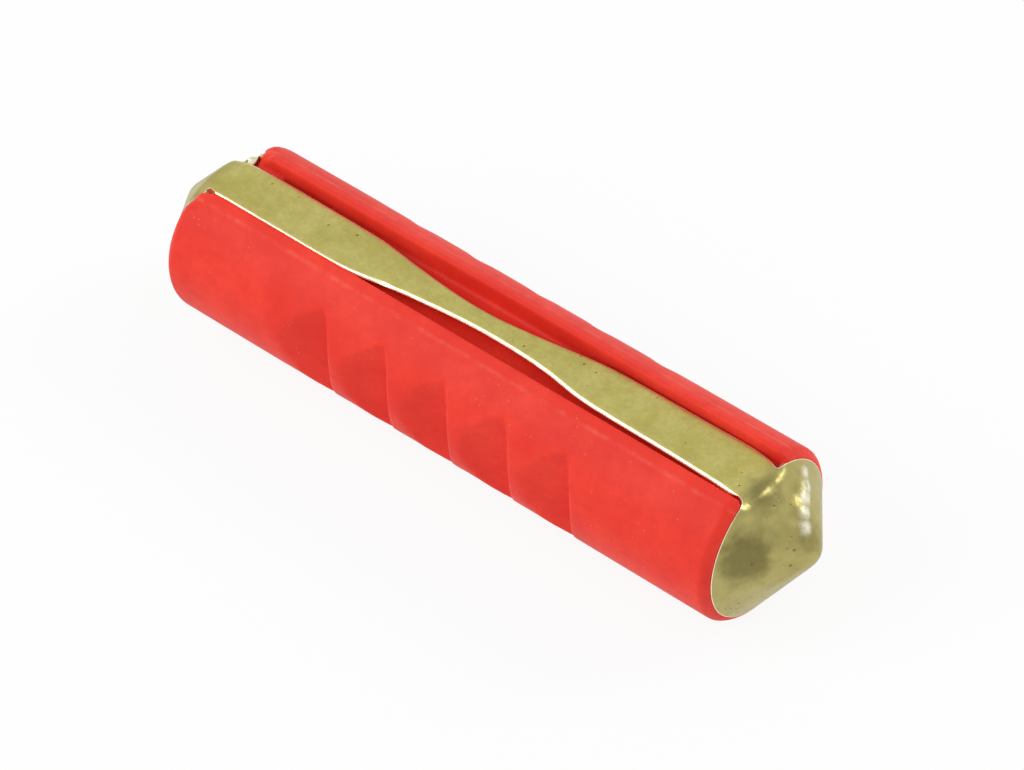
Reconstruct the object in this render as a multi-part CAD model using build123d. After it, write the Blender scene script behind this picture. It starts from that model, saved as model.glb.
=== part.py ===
from build123d import *
import os
from math import asin, cos, degrees, radians, sin, sqrt, tan

# Cartridge fuse with conical contacts: a moulded barrel with a lengthwise groove,
# and one stamped brass strip that lies in the groove, narrows to the fuse link
# half way along, and is bent down over each end into a cone on the barrel's nose.
# The far end is moulded slightly short and out of square, so its cone is steeper.
# Frame: X along the fuse, +Z up out of the groove, Z = 0 under the barrel.

# ---- driving dimensions, mm ----
LENGTH = 25.0                # tip to tip over the two contact cones
BARREL_R = 2.9
NEAR_HALF_ANGLE = 55.5       # degrees, between the near cone's side and the axis
FAR_HALF_ANGLE = 50.0
CONE_RIM_R = 2.54            # outer radius of a cone at its open rim
TIP_R = 0.75                 # rounding of a cone's tip
SHEET = 0.3                  # thickness of the brass
CLEARANCE = 0.015            # between the barrel and the brass that lies on it

EDGE_LENGTH = 0.66           # of the rounding at a barrel's end, before the cone's rim
SHOULDER_LENGTH = 0.05       # from the rounding's end to the rim
SHOULDER_R = 2.62
EDGE_OVERRUN = 0.08          # how far the rounding starts outside the barrel
FAR_TILT = 7.0               # degrees that the far end is out of square
FORM_R = 9.0                 # outside of the forms that trim the barrel's ends

GRIP_END_X = 5.95            # the serrated band, with a hair of mould draft
GRIP_DRAFT = 0.01

GROOVE_WIDTH = 2.1
GROOVE_OFFSET_Y = -0.03      # the groove is moulded a little off centre
GROOVE_LIP_R = 0.07          # rounding between a groove wall and the barrel
GROOVE_FLOOR = 1.9           # height of the floor over the axis, under the link
SEAT_FLOOR = 2.1             # height of the seats that carry the strip's ends
SEAT_START_X = 9.0

STRIP_WIDTH = 1.64
LINK_WIDTH = 0.58            # at the waist
LINK_SHOULDER_WIDTH = 1.2    # half way down each taper
LINK_SHOULDER_X = 3.4
TAPER_END_X = 5.6
STRIP_SKEW = 0.6             # degrees that the strip lies askew in its groove
BEND_R = 1.2                 # outside of the bend from the flat into a cone

SERRATIONS = 5
SERRATION_PITCH = 2.4
FIRST_ROOT_X = -4.4          # deepest line of the first serration
SERRATION_DEPTH = 0.7
RAMP_LENGTH = 1.6            # long face, from the barrel's surface to the root
WALL_RUN = 0.5               # short steep face, measured along the axis

MARGIN = 1.0                 # how far a cutter reaches past what it cuts

# ---- worked out from them ----
TIP_CENTRE_X = LENGTH / 2 - TIP_R
STRIP_TOP = SEAT_FLOOR + SHEET


class End:
    """One end of the fuse, drawn at +X: its cone, its nose and the strip's bend."""

    def __init__(self, half_angle):
        self.angle = radians(half_angle)
        self.rim_x = self.cone_point(0, CONE_RIM_R)[0]
        self.edge_x = self.rim_x - EDGE_LENGTH

    def cone_point(self, inset, radius=None):
        """A point (x, r) on the cone set in by `inset` from its outside: where the
        round tip ends, or where the cone has the given radius."""
        tip = TIP_R - inset
        x, r = TIP_CENTRE_X + tip * sin(self.angle), tip * cos(self.angle)
        if radius is None:
            return x, r
        return x - (radius - r) / tan(self.angle), radius

    def tip_arc(self, inset):
        """The round tip, from the axis to where the cone's side starts."""
        tip = TIP_R - inset
        middle = (radians(90) - self.angle) / 2
        return ThreePointArc(
            (TIP_CENTRE_X + tip, 0),
            (TIP_CENTRE_X + tip * cos(middle), tip * sin(middle)),
            self.cone_point(inset))

    def form(self):
        """The rounded edge and conical nose, as a form that trims a rod."""
        inset = SHEET + CLEARANCE
        nose_start = self.cone_point(inset, CONE_RIM_R - inset * cos(self.angle))
        outside_r = BARREL_R + EDGE_OVERRUN
        shoulder = (self.rim_x - SHOULDER_LENGTH, SHOULDER_R)
        outline = [
            Line((-LENGTH, 0), (TIP_CENTRE_X + TIP_R - inset, 0)),
            self.tip_arc(inset),
            Line(self.cone_point(inset), nose_start),
            Line(nose_start, shoulder),
            TangentArc((self.edge_x, outside_r), shoulder, tangent=(1, 0)),
            Line((self.edge_x, outside_r), (self.edge_x, FORM_R)),
            Line((self.edge_x, FORM_R), (-LENGTH, FORM_R)),
            Line((-LENGTH, FORM_R), (-LENGTH, 0)),
        ]
        return revolve(make_face(outline), Axis.X, 360)

    def bend(self, inset):
        """Start, middle and end of the strip's bend in the upright plane, for the
        surface set in by `inset` from the outside of the brass."""
        corner_x = self.cone_point(0, STRIP_TOP)[0]
        start_x = corner_x - BEND_R * tan(self.angle / 2)
        r = BEND_R - inset
        return [(start_x + r * sin(a), STRIP_TOP - BEND_R + r * cos(a))
                for a in (0, self.angle / 2, self.angle)]

    def seat(self):
        """Cutter that carries the seat of the strip round the end's edge."""
        start, middle, end = self.bend(SHEET + CLEARANCE)
        top = BARREL_R + MARGIN
        outline = [
            Line((self.edge_x, start[1]), start),
            ThreePointArc(start, middle, end),
            Line(end, (end[0], top)),
            Line((end[0], top), (self.edge_x, top)),
            Line((self.edge_x, top), (self.edge_x, start[1])),
        ]
        slot = extrude(Plane.XZ * make_face(outline), GROOVE_WIDTH / 2, both=True)
        return Pos(0, GROOVE_OFFSET_Y, 0) * slot

    def cone(self):
        """The cone, a shell of sheet thickness, open at the rim for the strip."""
        rim = (self.rim_x, CONE_RIM_R)
        rim_inside = (self.rim_x - SHEET * sin(self.angle),
                      CONE_RIM_R - SHEET * cos(self.angle))
        outline = [
            self.tip_arc(0),
            Line(self.cone_point(0), rim),
            Line(rim, rim_inside),
            Line(rim_inside, self.cone_point(SHEET)),
            self.tip_arc(SHEET),
            Line((TIP_CENTRE_X + TIP_R - SHEET, 0), (TIP_CENTRE_X + TIP_R, 0)),
        ]
        start, _, end = self.bend(0)
        gap = Pos((start[0] + end[0]) / 2, 0, end[1]) * Box(
            end[0] - start[0], STRIP_WIDTH, MARGIN,
            align=(Align.CENTER, Align.CENTER, Align.MIN))
        return revolve(make_face(outline), Axis.X, 360) - gap

    def bent_strip(self):
        """The end of the flat with its bend, wider than the strip will be."""
        outer, inner = self.bend(0), self.bend(SHEET)
        outline = [
            Line((TAPER_END_X, STRIP_TOP), outer[0]),
            ThreePointArc(*outer),
            Line(outer[2], inner[2]),
            ThreePointArc(*inner),
            Line(inner[0], (TAPER_END_X, SEAT_FLOOR)),
            Line((TAPER_END_X, SEAT_FLOOR), (TAPER_END_X, STRIP_TOP)),
        ]
        return extrude(Plane.XZ * make_face(outline), STRIP_WIDTH, both=True)


NEAR, FAR = End(NEAR_HALF_ANGLE), End(FAR_HALF_ANGLE)


def far(part):
    """Carry something drawn at +X to the far end, and turn it out of square."""
    pivot_x = FAR.edge_x
    tilt = Pos(-pivot_x, 0, 0) * Rot(0, 0, -FAR_TILT) * Pos(pivot_x, 0, 0)
    return tilt * mirror(part, Plane.YZ)


def rod():
    """The barrel before its ends are shaped, drawn in a hair at the grip."""
    outline = Polyline(
        (-LENGTH, 0), (-LENGTH, BARREL_R), (-GRIP_END_X, BARREL_R),
        (0, BARREL_R - GRIP_DRAFT), (GRIP_END_X, BARREL_R), (LENGTH, BARREL_R),
        (LENGTH, 0), close=True)
    return revolve(make_face(outline), Axis.X, 360)


def groove(floor, half_length):
    """Cutter for the groove, with a small rounding at each lip."""
    wall_y = GROOVE_WIDTH / 2
    lip_y = wall_y + GROOVE_LIP_R
    lip_z = sqrt((BARREL_R - GROOVE_LIP_R) ** 2 - lip_y ** 2)
    out = BARREL_R / (BARREL_R - GROOVE_LIP_R)
    end_angle = degrees(asin(lip_z / (BARREL_R - GROOVE_LIP_R)))
    middle = radians((180 + end_angle) / 2)
    arc_middle = (lip_y + GROOVE_LIP_R * cos(middle), lip_z + GROOVE_LIP_R * sin(middle))
    top_y, top_z = lip_y * out, BARREL_R + MARGIN
    side = [
        Line((0, floor), (wall_y, floor)),
        Line((wall_y, floor), (wall_y, lip_z)),
        ThreePointArc((wall_y, lip_z), arc_middle, (top_y, lip_z * out)),
        Line((top_y, lip_z * out), (top_y, top_z)),
        Line((top_y, top_z), (0, top_z)),
        Line((0, top_z), (0, floor)),
    ]
    half = extrude(Plane.YZ * make_face(side), half_length, both=True)
    return Pos(0, GROOVE_OFFSET_Y, 0) * (half + mirror(half, Plane.XZ))


def serration(root_x, side):
    """Cutter for one saw-tooth serration: an upright wedge, deepest at root_x."""
    def at(x, depth):
        return x, side * (BARREL_R - depth)

    over = MARGIN / SERRATION_DEPTH
    wedge = Polyline(
        at(root_x - RAMP_LENGTH * (1 + over), -MARGIN),
        at(root_x, SERRATION_DEPTH),
        at(root_x + WALL_RUN * (1 + over), -MARGIN),
        close=True)
    return extrude(make_face(wedge), BARREL_R + MARGIN, both=True)


def insulator_body():
    body = rod() & NEAR.form() & far(FAR.form())
    body -= groove(SEAT_FLOOR - CLEARANCE, LENGTH)
    body -= groove(GROOVE_FLOOR, SEAT_START_X)
    body -= NEAR.seat()
    body -= far(FAR.seat())
    for number in range(SERRATIONS):
        root_x = FIRST_ROOT_X + number * SERRATION_PITCH
        for side in (-1, 1):
            body -= serration(root_x, side)
    return body


def strip_plan():
    """The strip seen from above, with the link's waist, as a tall block."""
    end_x = LENGTH / 2
    half, waist, mid = STRIP_WIDTH / 2, LINK_WIDTH / 2, LINK_SHOULDER_WIDTH / 2
    edge = Spline(
        (-TAPER_END_X, half), (-LINK_SHOULDER_X, mid), (0, waist),
        (LINK_SHOULDER_X, mid), (TAPER_END_X, half),
        tangents=[(1, 0), (1, 0)])
    outline = [
        Line((-end_x, 0), (-end_x, half)),
        Line((-end_x, half), (-TAPER_END_X, half)),
        edge,
        Line((TAPER_END_X, half), (end_x, half)),
        Line((end_x, half), (end_x, 0)),
        Line((end_x, 0), (-end_x, 0)),
    ]
    side = make_face(outline)
    plan = side + mirror(side, Plane.XZ)
    return Rot(0, 0, STRIP_SKEW) * extrude(plan, BARREL_R + MARGIN)


def fuse_strip():
    middle = Pos(0, 0, SEAT_FLOOR) * Box(
        2 * TAPER_END_X + MARGIN, 2 * STRIP_WIDTH, SHEET,
        align=(Align.CENTER, Align.CENTER, Align.MIN))
    flat = (NEAR.bent_strip() + far(FAR.bent_strip()) + middle) & strip_plan()
    return NEAR.cone() + far(FAR.cone()) + flat


PIECES = {"insulator_body": insulator_body, "fuse_strip": fuse_strip}

os.makedirs("parts", exist_ok=True)
for name, make in PIECES.items():
    piece = Pos(0, 0, BARREL_R) * make()
    export_step(piece, f"parts/{name}.step")
    box = piece.bounding_box()
    print(name, len(piece.solids()), f"{piece.volume:.2f} mm3",
          f"x {box.min.X:.3f} to {box.max.X:.3f}",
          f"z {box.min.Z:.3f} to {box.max.Z:.3f}")
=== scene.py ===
# %% [markdown]
# # A cartridge fuse with conical contacts
# This small part has only two pieces: a moulded red barrel, and one strip of brass.
# The strip lies in a groove along the top of the barrel, narrows half way along to
# the link that melts, and is bent down over each end and formed into a cone.
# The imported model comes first, because it says where everything is.

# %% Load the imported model
from math import atan2, cos, pi, radians, sin, tan

import bpy
from mathutils import Matrix, Vector


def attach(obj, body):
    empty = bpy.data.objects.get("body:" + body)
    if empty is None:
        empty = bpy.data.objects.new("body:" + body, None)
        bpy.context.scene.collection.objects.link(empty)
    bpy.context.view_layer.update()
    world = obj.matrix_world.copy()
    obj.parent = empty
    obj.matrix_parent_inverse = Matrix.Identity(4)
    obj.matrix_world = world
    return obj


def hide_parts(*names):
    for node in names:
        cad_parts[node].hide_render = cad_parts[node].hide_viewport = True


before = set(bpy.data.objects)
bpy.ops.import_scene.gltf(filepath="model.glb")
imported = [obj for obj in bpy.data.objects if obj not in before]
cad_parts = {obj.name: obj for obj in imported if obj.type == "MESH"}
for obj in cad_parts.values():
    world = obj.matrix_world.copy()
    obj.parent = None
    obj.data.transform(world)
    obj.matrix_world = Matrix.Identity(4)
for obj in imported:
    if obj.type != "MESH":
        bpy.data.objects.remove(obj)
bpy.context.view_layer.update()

mm = 0.001
scene = bpy.context.scene
scene.view_settings.view_transform = "Standard"

# %% [markdown]
# The camera stands high on the near left of the fuse and looks along it at an angle
# of about 44 degrees, with a long lens. A camera can be aimed by hand with
# constraints, but three directions worked out from its angles say the same with no
# object to aim at: one out of the picture, one to its right and one up.

# %% Aim the camera
AXIS_HEIGHT = 2.9 * mm           # of the fuse's axis over the floor
TURN, HEIGHT, ROLL = radians(43.902), radians(47.148), radians(-4.717)
DISTANCE = 157.3 * mm
SIDE_SLIP, UP_SLIP = 0.7475 * mm, -0.3465 * mm    # of the camera off the fuse's middle
LENS, SENSOR = 181.93, 36.0

toward = Vector((sin(TURN) * cos(HEIGHT), -cos(TURN) * cos(HEIGHT), sin(HEIGHT)))
level = Vector((cos(TURN), sin(TURN), 0))
above = toward.cross(level)
right = cos(ROLL) * level + sin(ROLL) * above
up = cos(ROLL) * above - sin(ROLL) * level

bpy.ops.object.camera_add()
camera = bpy.context.object
camera.name = "camera"
place = toward * DISTANCE + right * SIDE_SLIP + up * UP_SLIP + Vector((0, 0, AXIS_HEIGHT))
camera.matrix_world = Matrix.Translation(place) @ Matrix((right, up, toward)).transposed().to_4x4()
camera.data.sensor_width, camera.data.lens = SENSOR, LENS
camera.data.clip_start = 1 * mm
scene.camera = camera
print("camera at", [round(v / mm, 1) for v in place], "mm")

# %% [markdown]
# A few helpers keep the modelling short. An operator works on everything that is
# selected, so each step first selects exactly what it shapes. Faces and vertices are
# chosen by where they are, with a small test that is given to `pick`.

# %% Helpers for modelling
def activate(piece):
    """Make one object the only selected and active one."""
    if bpy.context.object and bpy.context.object.mode == "EDIT":
        bpy.ops.object.mode_set(mode="OBJECT")
    bpy.ops.object.select_all(action="DESELECT")
    piece.select_set(True)
    bpy.context.view_layer.objects.active = piece


def pick(piece, test, domain="VERT"):
    """Select the vertices, edges or faces that pass the test, and enter edit mode."""
    activate(piece)
    bpy.ops.object.mode_set(mode="EDIT")
    bpy.ops.mesh.select_mode(type=domain)
    bpy.ops.mesh.select_all(action="DESELECT")
    bpy.ops.object.mode_set(mode="OBJECT")
    parts = {"VERT": "vertices", "EDGE": "edges", "FACE": "polygons"}[domain]
    chosen = 0
    for part in getattr(piece.data, parts):
        part.select = bool(test(part))
        chosen += part.select
    bpy.ops.object.mode_set(mode="EDIT")
    return chosen


def finish_modifiers(piece):
    """Apply every modifier, from the first to the last."""
    activate(piece)
    for name in [m.name for m in piece.modifiers]:
        bpy.ops.object.modifier_apply(modifier=name)


def triangles(piece):
    piece.data.calc_loop_triangles()
    return len(piece.data.loop_triangles)


# %% [markdown]
# The barrel is moulded, so no edge on it is truly sharp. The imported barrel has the
# right form: groove, rounded ends and the saw-tooth serrations on its sides. It is
# made of loose triangles though, so a copy is merged first. A remesh then covers it
# with small even quads, and smoothing them a little rounds every edge the way a
# mould does, which a bevel can't do as evenly where so many small faces meet.

# %% Copy the barrel and cover it with even quads
VOXEL = 0.072 * mm
barrel = bpy.data.objects.new("barrel", bpy.data.objects["insulator_body"].data.copy())
scene.collection.objects.link(barrel)
pick(barrel, lambda v: True)
bpy.ops.mesh.remove_doubles(threshold=0.0005 * mm)
bpy.ops.object.mode_set(mode="OBJECT")
quads = barrel.modifiers.new("quads", "REMESH")
quads.mode, quads.voxel_size, quads.adaptivity = "VOXEL", VOXEL, 0.0
rounding = barrel.modifiers.new("rounding", "SMOOTH")
rounding.factor, rounding.iterations = 0.5, 3
finish_modifiers(barrel)
print("barrel:", triangles(barrel), "triangles")

# %% [markdown]
# The long ramps of the serrations fade into the round of the barrel, with no line
# where they start. The vertices there are picked by place and smoothed many times.

# %% Fade the serrations' ramps into the barrel
FIRST_ROOT, PITCH, RAMP = -4.4 * mm, 2.4 * mm, 1.6 * mm
SERRATIONS = 5
FADE = 0.5 * mm
NEAR_TOP, FAR_TOP = AXIS_HEIGHT + 1.75 * mm, AXIS_HEIGHT + 1.2 * mm    # where ramps run out
CLEAR_OF_GROOVE, SERRATED_END = 1.6 * mm, 6.3 * mm


def ramp_start(v):
    """Near the start or the top of a ramp, but clear of the steep wall before it."""
    if abs(v.co.y) < CLEAR_OF_GROOVE or abs(v.co.x) > SERRATED_END:
        return False
    if v.co.z > (NEAR_TOP if v.co.y < 0 else FAR_TOP):
        return True
    for number in range(SERRATIONS):
        root = FIRST_ROOT + number * PITCH
        if root - RAMP - FADE / 2 < v.co.x < root - RAMP + FADE:
            return True
    return False


print("vertices to fade:", pick(barrel, ramp_start))
bpy.ops.mesh.vertices_smooth(factor=0.5, repeat=25)
bpy.ops.object.mode_set(mode="OBJECT")

# %% [markdown]
# At the far end the corners of the groove are worn well back. Each is one vertex
# moved with proportional editing, as one would pull at clay, and then smoothed.

# %% Wear back the far corners of the groove
def push(piece, place, move, reach):
    """Move the vertex nearest to a place, and its neighbours less. All in mm."""
    place = Vector(place) * mm + Vector((0, 0, AXIS_HEIGHT))
    nearest = min(piece.data.vertices, key=lambda v: (v.co - place).length).index
    pick(piece, lambda v: v.index == nearest)
    bpy.ops.transform.translate(
        value=Vector(move) * mm, use_proportional_edit=True,
        proportional_edit_falloff="SMOOTH", proportional_size=reach * mm)
    bpy.ops.object.mode_set(mode="OBJECT")


# place, move and reach of each corner, in mm from the middle of the fuse's axis
CORNERS = [((-10.45, -1.25, 2.45), (0.05, -0.02, -0.05), 0.9),
           ((-10.20, 1.15, 2.60), (0.22, 0.02, -0.12), 0.9)]
for place, move, reach in CORNERS:
    push(barrel, place, move, reach)
    centre = Vector(place) * mm + Vector((0, 0, AXIS_HEIGHT))
    pick(barrel, lambda v: (v.co - centre).length < 0.6 * mm)
    bpy.ops.mesh.vertices_smooth(factor=0.5, repeat=60)
    bpy.ops.object.mode_set(mode="OBJECT")
activate(barrel)
bpy.ops.object.shade_smooth()
print("corners worn back:", len(CORNERS))

# %% [markdown]
# The brass is one sheet, so it is modelled as one sheet. A ring of edges at the rim
# of a cone is extruded towards the tip, ring after ring, each one a little smaller.
# That is how a lathe hand would describe the cone. Both tips sit a little to the
# far side, as the press left them. The far end of the barrel is short and out of
# square, so the far cone is steeper, and it is turned with the end.

# %% Extrude each cone ring by ring
RIM_R, TIP_X, TIP_R = 2.63 * mm, 12.5 * mm, 0.75 * mm
SEGMENTS = 64
STEP = 2 * pi / SEGMENTS
axis = Vector((0, 0, AXIS_HEIGHT))
SIDE_RINGS = [2.42, 2.2, 1.92, 1.6, 1.25, 0.9, 0.62, 0.425]
TIP_ANGLES = [24, 13, 4]


def rim_x(half_angle, rim_r=RIM_R):
    """How far along the axis a cone has the given radius, at its side."""
    side_end = TIP_X - TIP_R + TIP_R * sin(half_angle)
    return side_end - (rim_r - TIP_R * cos(half_angle)) / tan(half_angle)


def extrude_cone(name, half_angle, tip_off):
    """A cone's outside, drawn at +X, as an open sheet."""
    start = rim_x(half_angle)
    rings = [(rim_x(half_angle, r * mm), r * mm) for r in SIDE_RINGS]
    for angle in TIP_ANGLES:
        a = radians(angle)
        rings.append((TIP_X - TIP_R + TIP_R * cos(a), TIP_R * sin(a)))
    bpy.ops.object.select_all(action="DESELECT")
    bpy.ops.mesh.primitive_circle_add(
        vertices=SEGMENTS, radius=RIM_R, location=(start, 0, AXIS_HEIGHT),
        rotation=(0, pi / 2, 0))
    cone = bpy.context.object
    cone.name = name
    bpy.ops.object.transform_apply(location=True, rotation=True, scale=True)
    bpy.ops.object.mode_set(mode="EDIT")
    bpy.ops.mesh.select_all(action="SELECT")
    bpy.ops.transform.rotate(value=STEP / 2, orient_axis="X", center_override=tuple(axis))
    here_x, here_r, here_off = start, RIM_R, Vector((0, 0, 0))
    for x, r in rings:
        off = tip_off * ((x - start) / (TIP_X - start))
        bpy.ops.mesh.extrude_edges_move(
            TRANSFORM_OT_translate={"value": (x - here_x, *(off - here_off).yz)})
        bpy.ops.transform.resize(
            value=(1, r / here_r, r / here_r),
            center_override=(x, off.y, AXIS_HEIGHT + off.z))
        here_x, here_r, here_off = x, r, off
    bpy.ops.mesh.edge_face_add()
    bpy.ops.mesh.poke()
    bpy.ops.object.mode_set(mode="OBJECT")
    print(name, "rim at", round(start / mm, 2), "mm,", len(cone.data.vertices), "vertices")
    return cone


NEAR_ANGLE, FAR_ANGLE = radians(55.5), radians(50)
brass = extrude_cone("brass", NEAR_ANGLE, Vector((0, 0.32, 0.03)) * mm)
far_cone = extrude_cone("far_cone", FAR_ANGLE, Vector((0, 0.05, 0.0)) * mm)

# %% [markdown]
# Where the strip comes in over an end, some edges of the rim are drawn down onto the
# bend, so that the sheet can flow from the flat into the cone. Then the far cone is
# mirrored to its own end and turned, and the two are joined into one object.

# %% Shape the rims under the bends, and join the cones
ZONE = (-3.6 * STEP, 2.6 * STEP)      # of the rim, as angles from straight up
STRIP_TOP = AXIS_HEIGHT + 2.4 * mm
BEND_BACK = 0.1 * mm                  # from the rim back to the bend's row


def around(co):
    """The angle of a point round the axis, from straight up towards +Y."""
    return atan2(co.y, co.z - AXIS_HEIGHT)


def draw_down(cone, half_angle):
    start = rim_x(half_angle)
    count = pick(cone, lambda v: abs(v.co.x - start) < 0.02 * mm
                 and ZONE[0] < around(v.co) < ZONE[1])
    bpy.ops.transform.resize(value=(1, 1, 0.2), center_override=(0, 0, STRIP_TOP - 0.04 * mm))
    bpy.ops.transform.translate(value=(-BEND_BACK, 0, -0.03 * mm))
    print(cone.name, "rim vertices under the bend:", count)
    return start - BEND_BACK


near_row_x = draw_down(brass, NEAR_ANGLE)
far_row_x = draw_down(far_cone, FAR_ANGLE)

FAR_TILT, FAR_PIVOT = radians(7.0), -9.94 * mm
pick(far_cone, lambda v: True)
bpy.ops.transform.resize(value=(-1, 1, 1), center_override=(0, 0, AXIS_HEIGHT))
bpy.ops.mesh.flip_normals()
bpy.ops.object.mode_set(mode="OBJECT")
far_square = (Matrix.Translation((FAR_PIVOT, 0, 0)) @ Matrix.Rotation(-FAR_TILT, 4, "Z")
              @ Matrix.Translation((-FAR_PIVOT, 0, 0)))
far_cone.data.transform(far_square)
activate(brass)
far_cone.select_set(True)
bpy.ops.object.join()
print("both cones:", len(brass.data.vertices), "vertices")

# %% [markdown]
# The flat is extruded from the near rim to the far one. At each station its row of
# edges is moved on, and scaled to the width there. The stamped edges are not quite
# parallel, and the link's waist is not quite in the middle, so each station gives
# the near edge and the far edge of the strip on their own.

# %% Extrude the strip along its groove
# distance along the fuse, near edge and far edge, all from the axis in mm
STATIONS = [
    (10.45, -0.79, 0.80), (9.85, -0.765, 0.93), (9.0, -0.735, 0.91), (7.8, -0.70, 0.89),
    (6.5, -0.68, 0.88), (5.3, -0.67, 0.87), (4.6, -0.645, 0.85), (4.0, -0.585, 0.80),
    (3.4, -0.47, 0.725), (2.8, -0.375, 0.625), (2.0, -0.32, 0.51), (1.2, -0.295, 0.41),
    (0.4, -0.29, 0.31), (-0.4, -0.32, 0.285), (-1.2, -0.39, 0.31), (-2.0, -0.47, 0.37),
    (-2.8, -0.56, 0.455), (-3.4, -0.655, 0.53), (-4.0, -0.765, 0.61),
    (-4.5, -0.855, 0.68), (-5.1, -0.915, 0.70), (-6.0, -0.92, 0.71), (-7.2, -0.91, 0.72),
    (-8.4, -0.91, 0.73), (-9.3, -0.905, 0.73), (-9.75, -0.90, 0.70), (-10.1, -0.90, 0.66)]


def zone_edge(edge):
    ends = [brass.data.vertices[i].co for i in edge.vertices]
    return all(abs(c.x - near_row_x) < 0.03 * mm and c.z > AXIS_HEIGHT + 2.2 * mm
               for c in ends)


print("edges that the strip grows from:", pick(brass, zone_edge, "EDGE"))
bpy.ops.object.mode_set(mode="OBJECT")
ys = [brass.data.vertices[i].co.y for e in brass.data.edges if e.select for i in e.vertices]
here_x, near_y, far_y = near_row_x, min(ys), max(ys)
bpy.ops.object.mode_set(mode="EDIT")
for x, near, far in STATIONS:
    x, near, far = x * mm, near * mm, far * mm
    middle, width = (near + far) / 2, far - near
    bpy.ops.mesh.extrude_edges_move(TRANSFORM_OT_translate={
        "value": (x - here_x, middle - (near_y + far_y) / 2, 0)})
    bpy.ops.transform.resize(
        value=(1, width / (far_y - near_y), 0), center_override=(x, middle, STRIP_TOP))
    here_x, near_y, far_y = x, near, far

# %% Join the strip to the far cone
def last_row(edge):
    ends = [brass.data.vertices[i].co for i in edge.vertices]
    return all(abs(c.x - STATIONS[-1][0] * mm) < 0.01 * mm and c.z > STRIP_TOP - 0.01 * mm
               for c in ends)


def far_rim_edge(edge):
    back = [far_square.inverted() @ brass.data.vertices[i].co for i in edge.vertices]
    return all(abs(c.x + far_row_x) < 0.03 * mm and c.z > AXIS_HEIGHT + 2.2 * mm
               for c in back)


print("edges to bridge:", pick(brass, lambda e: last_row(e) or far_rim_edge(e), "EDGE"))
bpy.ops.mesh.bridge_edge_loops()
bpy.ops.mesh.select_all(action="SELECT")
bpy.ops.mesh.remove_doubles(threshold=0.5e-3 * mm)
bpy.ops.mesh.normals_make_consistent(inside=False)
bpy.ops.object.mode_set(mode="OBJECT")
top = [f for f in brass.data.polygons if abs(f.center.x) < 5 * mm]
print("brass sheet:", len(brass.data.polygons), "faces, flat faces up:",
      sum(f.normal.z > 0.9 for f in top), "of", len(top))

# %% [markdown]
# The punch that cut the strip out rolled its long edges over. So the open edges of
# the strip are extruded once more, outwards and down, and these narrow faces go to a
# second material, because a cut edge is bright where the flat is dull.

# %% Roll the strip's long edges over
ROLL_OUT, ROLL_DOWN = 0.06 * mm, 0.10 * mm
STRIP_REACH, ROLLED_REACH = 10.5 * mm, 10.3 * mm      # along the fuse, each way
for _ in range(2):                                     # the faces, then the cut edges
    brass.data.materials.append(None)


def open_edges(piece):
    """The edges that only one face uses."""
    users = {}
    for face in piece.data.polygons:
        for key in face.edge_keys:
            users[key] = users.get(key, 0) + 1
    return {key for key, count in users.items() if count == 1}


def along_side(edge, side):
    """Whether an edge lies on the strip, on the side that has this sign."""
    ends = [brass.data.vertices[i].co for i in edge.vertices]
    return all(abs(c.x) < STRIP_REACH and c.z > AXIS_HEIGHT + 2.3 * mm and c.y * side > 0
               for c in ends)


for side in (-1, 1):
    rims = open_edges(brass)
    print("edges to roll over:",
          pick(brass, lambda e: e.key in rims and along_side(e, side), "EDGE"))
    bpy.ops.mesh.extrude_edges_move(
        TRANSFORM_OT_translate={"value": (0, side * ROLL_OUT, -ROLL_DOWN)})
bpy.ops.mesh.select_all(action="SELECT")
bpy.ops.mesh.normals_make_consistent(inside=False)
bpy.ops.object.mode_set(mode="OBJECT")
for face in brass.data.polygons:
    face.material_index = int(abs(face.center.x) < ROLLED_REACH and face.normal.z < 0.9)
print("rolled faces:", sum(f.material_index for f in brass.data.polygons))

# %% [markdown]
# One level of subdivision rounds the sheet, and gives enough vertices to dent it.
# The press has left the near cone uneven: a crease runs from its upper rim to the
# tip, a second one follows the bend, and between them the brass is sunk. At the far
# end the corners of the rim are tucked in. Each mark is again one vertex moved with
# proportional editing.

# %% Round the sheet and dent the near cone
smooth = brass.modifiers.new("smooth", "SUBSURF")
smooth.levels = smooth.render_levels = 1
finish_modifiers(brass)

# place, move and reach of each mark, in mm from the middle of the fuse's axis
MARKS = [
    ((11.10, 1.45, 1.75), (0.05, 0.05, 0.06), 0.40),
    ((11.35, 1.22, 1.52), (0.06, 0.05, 0.07), 0.38),
    ((11.55, 0.93, 1.40), (0.07, 0.03, 0.07), 0.36),
    ((11.78, 0.62, 1.20), (0.07, 0.02, 0.07), 0.36),
    ((11.98, 0.36, 0.95), (0.06, 0.00, 0.05), 0.34),
    ((11.30, 0.70, 1.85), (-0.07, -0.01, -0.08), 0.45),
    ((11.60, 0.15, 1.50), (-0.05, 0.00, -0.06), 0.42),
    ((11.30, -0.45, 1.92), (0.04, -0.01, 0.04), 0.35),
    ((11.00, -1.15, 2.15), (0.03, -0.04, 0.04), 0.35),
    ((10.95, 0.05, 2.30), (-0.03, 0.00, -0.05), 0.40),
    ((12.05, -0.60, 0.20), (-0.04, 0.02, 0.00), 0.28),
    ((11.65, -1.15, 0.70), (-0.04, 0.03, -0.02), 0.55),
    ((11.30, -1.70, -0.30), (0.03, -0.02, -0.01), 0.55),
    ((11.60, -0.80, -1.10), (-0.03, 0.01, 0.03), 0.60),
]

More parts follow.
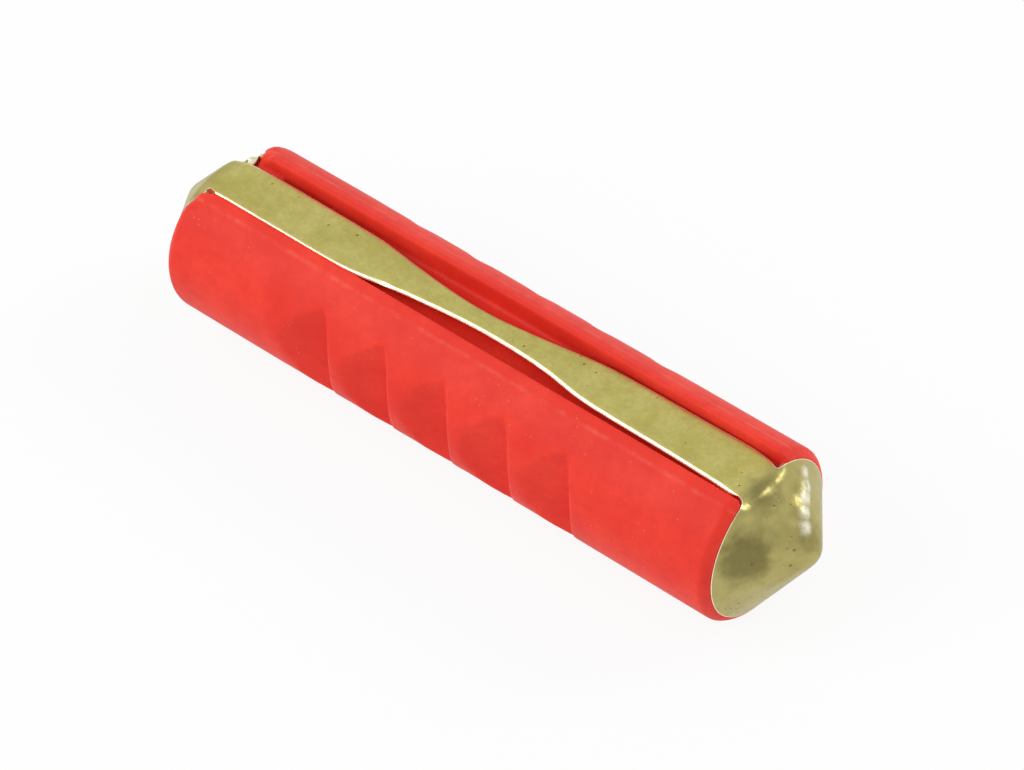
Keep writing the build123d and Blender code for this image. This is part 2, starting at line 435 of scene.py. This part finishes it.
# the far rim's corners, tucked in behind the ends of the barrel's walls
TUCKED = [
    ((-10.75, 1.50, 2.00), (0.22, -0.08, -0.12), 0.9),
    ((-10.50, 1.00, 2.40), (0.25, -0.05, -0.18), 0.5),
    ((-10.55, -1.20, 2.35), (0.16, 0.06, -0.16), 0.5),
]
for place, move, reach in MARKS + TUCKED:
    push(brass, place, move, reach)
print("marks pressed into the near cone:", len(MARKS))

# %% [markdown]
# The stamp left a small burr on the near edge of the link's far shoulder, and another
# by the near bend. Then the sheet gets its thickness inwards, towards the barrel, and
# its rim goes to the second material with the edges that were rolled over.

# %% Thicken the sheet and soften its cut edges
BURRS = [
    ((-3.30, -0.65, 2.4), (0, 0.07, -0.03), 0.22),
    ((-2.95, -0.60, 2.4), (0, -0.02, 0), 0.20),
    ((10.2, -0.84, 2.3), (0, -0.03, -0.03), 0.30),
]
for place, move, reach in BURRS:
    push(brass, place, move, reach)

SHEET = 0.3 * mm
thick = brass.modifiers.new("thick", "SOLIDIFY")
thick.thickness, thick.offset = SHEET, -1
thick.use_even_offset = True
thick.use_rim = True
thick.material_offset_rim = 1
finish_modifiers(brass)
soft = brass.modifiers.new("soft", "BEVEL")
soft.width, soft.segments = 0.05 * mm, 2
soft.limit_method, soft.angle_limit = "ANGLE", radians(55)
soft.use_clamp_overlap = True
soft.material = 1
smooth = brass.modifiers.new("smooth", "SUBSURF")
smooth.levels = smooth.render_levels = 1
finish_modifiers(brass)
activate(brass)
bpy.ops.object.shade_smooth()
print("brass:", triangles(brass), "triangles, box in mm",
      [[round(f(v.co[i] for v in brass.data.vertices) / mm, 2) for i in range(3)]
       for f in (min, max)])

# %% [markdown]
# The finishes are worked out by nodes. Node maths is easier to read as Python, so a
# small class wraps a socket: adding or multiplying wrapped sockets adds the Math
# node that does it. Colours go through Mix nodes, because a Math node would turn
# them grey.

# %% A small class for node maths
class Socket:
    def __init__(self, nodes, out):
        self.nodes, self.out = nodes, out

    def _math(self, operation, *values):
        return self.nodes.node("ShaderNodeMath", {"operation": operation},
                               dict(enumerate(values)))

    def __add__(self, other):
        return self._math("ADD", self, other)

    def __sub__(self, other):
        return self._math("SUBTRACT", self, other)

    def __rsub__(self, other):
        return self._math("SUBTRACT", other, self)

    def __mul__(self, other):
        return self._math("MULTIPLY", self, other)

    __radd__, __rmul__ = __add__, __mul__

    def larger(self, other):
        return self._math("MAXIMUM", self, other)

    def absolute(self):
        return self._math("ABSOLUTE", self)

    def ramp(self, low, high, smooth=True):
        """0 below low, 1 above high, and a soft slope between. High may be the lower."""
        kind = "SMOOTHSTEP" if smooth else "LINEAR"
        if low < high:
            return self.nodes.node("ShaderNodeMapRange", {"interpolation_type": kind},
                                   {"Value": self, "From Min": low, "From Max": high})
        return 1 - self.ramp(high, low, smooth)


class Finish:
    """A material, with one method that adds any node to it."""

    def __init__(self, name):
        self.material = bpy.data.materials.new(name)
        self.material.use_nodes = True
        self.tree = self.material.node_tree
        self.shader = self.tree.nodes["Principled BSDF"]

    def plug(self, socket, value):
        if isinstance(value, Socket):
            self.tree.links.new(value.out, socket)
        elif isinstance(value, tuple) and socket.type == "RGBA":
            socket.default_value = (*value, 1)
        else:
            socket.default_value = value

    def node(self, kind, settings=None, inputs=None, output=0):
        node = self.tree.nodes.new(kind)
        for name, value in (settings or {}).items():
            setattr(node, name, value)
        for key, value in (inputs or {}).items():
            self.plug(node.inputs[key], value)
        return Socket(self, node.outputs[output])

    def object_place(self, centre=(0, 0, 0), scale=(1, 1, 1)):
        """Object coordinates in millimetres from a centre, stretched by scale."""
        coordinates = self.node("ShaderNodeTexCoord", output="Object")
        offset = tuple(-c * s for c, s in zip(centre, scale))
        return self.node("ShaderNodeMapping", None, {
            "Vector": coordinates, "Scale": tuple(s / mm for s in scale),
            "Location": offset})

    def noise(self, place, scale, detail=3.0, roughness=0.55, distortion=0.0):
        return self.node("ShaderNodeTexNoise", {"noise_dimensions": "3D"}, {
            "Vector": place, "Scale": scale, "Detail": detail,
            "Roughness": roughness, "Distortion": distortion}, "Fac")

    def blend(self, amount, low, high):
        """From the low colour to the high one by amount."""
        return self.node("ShaderNodeMix", {"data_type": "RGBA"}, {0: amount, 6: low, 7: high}, 2)

    def parts(self, vector):
        node = self.tree.nodes.new("ShaderNodeSeparateXYZ")
        self.plug(node.inputs[0], vector)
        return [Socket(self, out) for out in node.outputs]

    def bump(self, height, distance, strength=1.0, below=None):
        inputs = {"Height": height, "Distance": distance, "Strength": strength}
        if below is not None:
            inputs["Normal"] = below
        return self.node("ShaderNodeBump", None, inputs)

    def set(self, **values):
        for name, value in values.items():
            self.plug(self.shader.inputs[name.replace("_", " ")], value)


print("node helpers ready")

# %% [markdown]
# The barrel's red is the same all the way through. Close up it is a little uneven:
# soft patches a shade lighter or darker and a fine grain. The small pale specks are
# painted glints. The mould has left two faint lines along the top, one each side of
# the groove: a slight ridge is bumped in, and their paleness is a painted highlight.

# %% The moulded red
red = Finish("moulded_red")
place = red.object_place((0, 0, AXIS_HEIGHT / mm))
x, y, z = red.parts(place)
patches = red.noise(place, 0.55, 2.0)
mottle = red.noise(place, 3.2, 3.0)
grain = red.noise(place, 16.0, 2.0)
# The pale specks are painted glints: small highlights put into the red's colour.
painted_glints = red.node("ShaderNodeTexVoronoi", {"feature": "F1"}, {"Vector": place, "Scale": 5.0},
                  "Distance").ramp(0.16, 0.07)
painted_glints = painted_glints * red.noise(place, 1.3, 1.0).ramp(0.52, 0.66)
# The two lines along the top are a real slight ridge in the bump and a painted highlight in the
# colour.
turn = red.node("ShaderNodeMath", {"operation": "ARCTAN2"}, {0: y, 1: z})
mould_line_and_painted_highlight = (turn.absolute() - radians(31)).absolute().ramp(radians(2.4), 0)
broken = red.noise(place, 2.2, 2.0).ramp(0.35, 0.7)
colour = red.blend(patches.ramp(0.3, 0.7), (0.80, 0.032, 0.016), (0.88, 0.047, 0.024))
colour = red.blend(mottle.ramp(0.35, 0.75) * 0.35, colour, (0.70, 0.028, 0.026))
colour = red.blend(painted_glints * 0.5 + mould_line_and_painted_highlight * broken * 0.22, colour, (0.95, 0.22, 0.16))
rough = 0.46 + mottle * 0.12 - mould_line_and_painted_highlight * 0.05
bumps = red.bump(mottle * 0.6 + grain * 0.4, 0.012 * mm)
bumps = red.bump(mould_line_and_painted_highlight * broken, 0.006 * mm, below=bumps)
red.set(Base_Color=colour, Roughness=rough, Normal=bumps)
red.shader.inputs["IOR"].default_value = 1.5
red.shader.inputs["Specular IOR Level"].default_value = 0.22
barrel.data.materials.clear()
barrel.data.materials.append(red.material)
print("barrel finished in", red.material.name)

# %% [markdown]
# The brass is rolled sheet that has stood for years: dull, olive where it has
# tarnished, with lighter rubbed patches, small dark pits and brownish stains that
# gather on the cones. The cones are also painted darker all over, and dark patches on
# the near cone are painted shade; a pale streak along its crease is a painted
# highlight. The cut edges are another finish: the punch has burnished them, and they
# shine almost white.

# %% The tarnished brass and its bright cut edge
brass_finish = Finish("tarnished_brass")
place = brass_finish.object_place((0, 0, AXIS_HEIGHT / mm))
x, y, z = brass_finish.parts(place)
along = brass_finish.object_place((0, 0, AXIS_HEIGHT / mm), (0.55, 1.6, 1))
cloud = brass_finish.noise(place, 0.8, 3.0, 0.6)
stain = brass_finish.noise(place, 1.7, 4.0, 0.6, 0.4)
fine = brass_finish.noise(place, 6.0, 4.0, 0.65)
rolled = brass_finish.noise(along, 5.0, 3.0, 0.6)
pits = brass_finish.node("ShaderNodeTexVoronoi", {"feature": "F1"},
                         {"Vector": place, "Scale": 2.6}, "Distance").ramp(0.17, 0.08)
pits = pits * brass_finish.noise(place, 1.1, 1.0).ramp(0.46, 0.6)
on_cone = x.absolute().ramp(10.2, 11.0)


def patch_near(place, centre, inner, outer):
    """1 within the inner distance of a centre in mm, 0 beyond the outer one."""
    away = brass_finish.node("ShaderNodeVectorMath", {"operation": "DISTANCE"},
                             {0: place, 1: centre}, "Value")
    return away.ramp(outer, inner)


ragged = brass_finish.node("ShaderNodeVectorMath", {"operation": "ADD"}, {
    0: place, 1: brass_finish.node("ShaderNodeVectorMath", {"operation": "SCALE"}, {
        0: brass_finish.node("ShaderNodeTexNoise", None, {
            "Vector": place, "Scale": 2.2, "Detail": 3.0}, "Color"), "Scale": 0.9})})
# Dark patches on the near cone are painted shade, standing for the shade and dark reflections that
# the lamps don't give there.
painted_shade = patch_near(ragged, (11.7, -1.1, 1.3), 0.45, 1.25)
painted_shade = painted_shade.larger(patch_near(ragged, (11.4, 0.25, 2.7), 0.2, 0.8) * 0.7)
painted_shade = painted_shade.larger(patch_near(ragged, (12.7, 0.9, 1.2), 0.2, 0.7) * 0.5)
colour = brass_finish.blend(cloud.ramp(0.3, 0.7), (0.60, 0.54, 0.135), (0.72, 0.67, 0.22))
colour = brass_finish.blend(fine.ramp(0.35, 0.7) * 0.5, colour, (0.50, 0.45, 0.16))
colour = brass_finish.blend(rolled.ramp(0.5, 0.75) * 0.35, colour, (0.78, 0.70, 0.30))
colour = brass_finish.blend(
    stain.ramp(0.42, 0.66) * (0.12 + on_cone * 0.2), colour, (0.36, 0.28, 0.09))
# The cones are painted a darker brown all over: painted shade for ends that face away from the
# broad lamp.
colour = brass_finish.blend(on_cone * 0.7, colour, (0.40, 0.34, 0.13))
colour = brass_finish.blend(painted_shade * 0.8, colour, (0.17, 0.14, 0.045))
# A pale streak along the near cone's crease is a painted highlight, put where the back lamp
# catches the crease.
RIDGE = [(11.10, 1.47, 1.77), (11.35, 1.23, 1.52), (11.54, 0.95, 1.41),
         (11.77, 0.63, 1.21), (11.99, 0.37, 0.95)]
painted_highlight_streak = patch_near(place, RIDGE[0], 0.02, 0.28)
for spot in RIDGE[1:]:
    painted_highlight_streak = painted_highlight_streak.larger(patch_near(place, spot, 0.04, 0.34))
painted_highlight_streak = painted_highlight_streak * fine.ramp(0.25, 0.5)
colour = brass_finish.blend(painted_highlight_streak * 0.9, colour, (1.0, 0.97, 0.80))
colour = brass_finish.blend(pits * 0.6, colour, (0.16, 0.12, 0.04))
rough = 0.42 + fine * 0.16 + stain.ramp(0.45, 0.7) * 0.1 - on_cone * 0.12
bumps = brass_finish.bump(fine * 0.5 + rolled * 0.5, 0.012 * mm)
bumps = brass_finish.bump(cloud, 0.06 * mm, below=bumps)
bumps = brass_finish.bump(1 - pits, 0.02 * mm, below=bumps)
brass_finish.set(Base_Color=colour, Roughness=rough, Normal=bumps, Metallic=0.85)

edge_finish = Finish("burnished_edge")
place = edge_finish.object_place((0, 0, AXIS_HEIGHT / mm))
wear = edge_finish.noise(place, 3.0, 3.0)
colour = edge_finish.blend(wear.ramp(0.35, 0.7), (0.88, 0.82, 0.52), (1.0, 0.98, 0.80))
edge_finish.set(Base_Color=colour, Roughness=0.30 + wear * 0.1, Metallic=0.9,
                Normal=edge_finish.bump(wear, 0.01 * mm))
brass.data.materials[0] = brass_finish.material
brass.data.materials[1] = edge_finish.material
print("faces on the cut edges:", sum(f.material_index == 1 for f in brass.data.polygons))

# %% [markdown]
# Both pieces belong to the fuse's one body, and each takes the place of its plain
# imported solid.

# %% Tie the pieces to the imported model
for piece, node, slot in ((barrel, "insulator_body", "moulded_body"),
                          (brass, "fuse_strip", "brass_strip")):
    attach(piece, "root")
    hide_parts(node)
    print(piece.name, "stands for", node)

# %% [markdown]
# A small object in a white light box has light from all round and one broad lamp
# that gives it form. The floor is white to the camera and to mirror-like surfaces,
# and it still takes the fuse's soft shadow.

# %% Floor, backdrop and lamps
bpy.ops.object.select_all(action="DESELECT")
bpy.ops.mesh.primitive_plane_add(size=4, location=(0, 0, -0.02 * mm))
floor = bpy.context.object
floor.name = "floor"
ground = Finish("white_card")
ground.set(Base_Color=(0.86, 0.86, 0.86), Roughness=0.9)
ray = ground.tree.nodes.new("ShaderNodeLightPath")
seen = Socket(ground, ray.outputs["Is Camera Ray"]).larger(
    Socket(ground, ray.outputs["Is Glossy Ray"]))
glow = ground.node("ShaderNodeEmission", None, {"Color": (1.0, 1.0, 1.0), "Strength": 1.0})
card = ground.node("ShaderNodeMixShader", None, {
    0: seen * 0.9, 1: Socket(ground, ground.shader.outputs[0]), 2: glow})
ground.plug(ground.tree.nodes["Material Output"].inputs["Surface"], card)
floor.data.materials.append(ground.material)

world = bpy.data.worlds.new("light_box")
scene.world = world
world.use_nodes = True
sky = world.node_tree.nodes["Background"]
sky.inputs["Color"].default_value = (1, 1, 1, 1)
sky.inputs["Strength"].default_value = 0.62


def lamp(name, place, size, power):
    """A square area lamp that faces the middle of the fuse."""
    bpy.ops.object.light_add(type="AREA", location=Vector(place) * mm)
    light = bpy.context.object
    light.name = name
    light.data.size, light.data.energy = size * mm, power
    light.rotation_euler = (-light.location).to_track_quat("-Z", "Y").to_euler()
    return light


lamp("broad_lamp", (-115, -145, 155), 150, 0.26)
lamp("back_lamp", (110, 150, 140), 80, 0.17)
